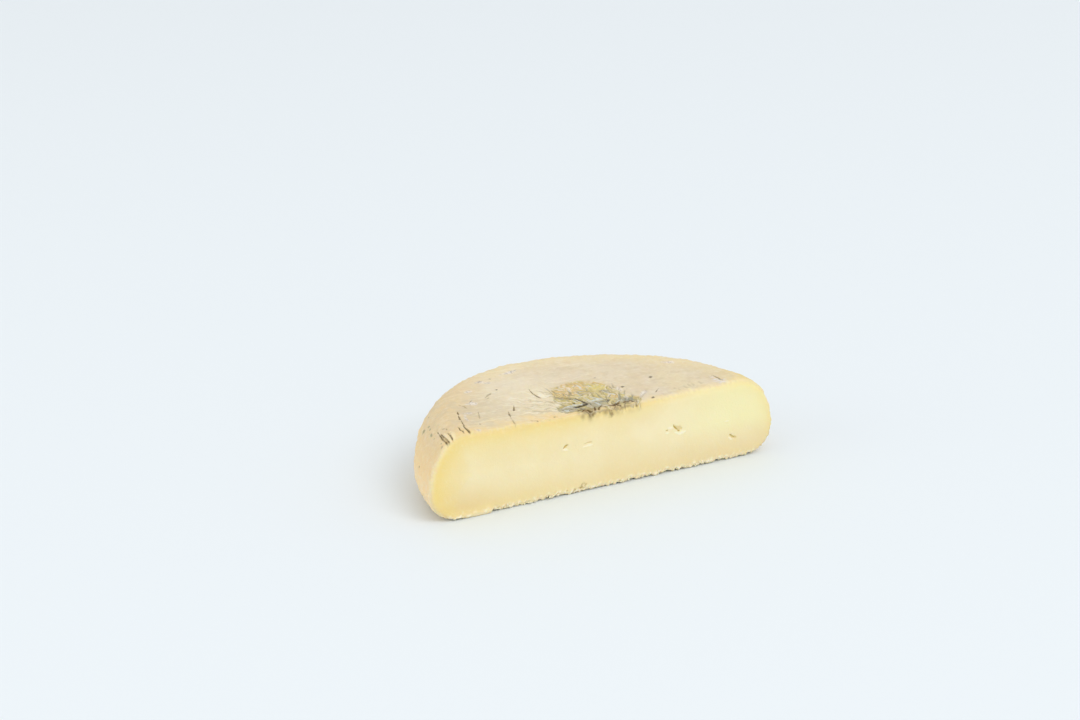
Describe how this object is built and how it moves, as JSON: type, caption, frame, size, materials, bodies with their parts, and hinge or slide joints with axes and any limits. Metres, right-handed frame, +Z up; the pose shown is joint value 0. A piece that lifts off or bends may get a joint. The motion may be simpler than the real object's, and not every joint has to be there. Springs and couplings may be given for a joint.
{
  "type": "half wheel of pecorino cheese",
  "caption": "Half wheel of young pecorino: flat cut face with a few slit eyes, rounded heel, pale rind with a sunken mouldy patch and a torn lower edge, resting on its flat base.",
  "frame": {"origin": "under the middle of the piece's bounding box, on the surface that it stands on", "axes": "+X along the cut face, to the right as one looks at the cut; +Y from the cut face to the heel at the back; +Z up"},
  "size_m": [0.18, 0.0866, 0.0402],
  "materials": {
    "cheese": "dull, slightly waxy"
  },
  "bodies": {
    "root": {"half_wheel": "cheese"}
  },
  "joints": []
}
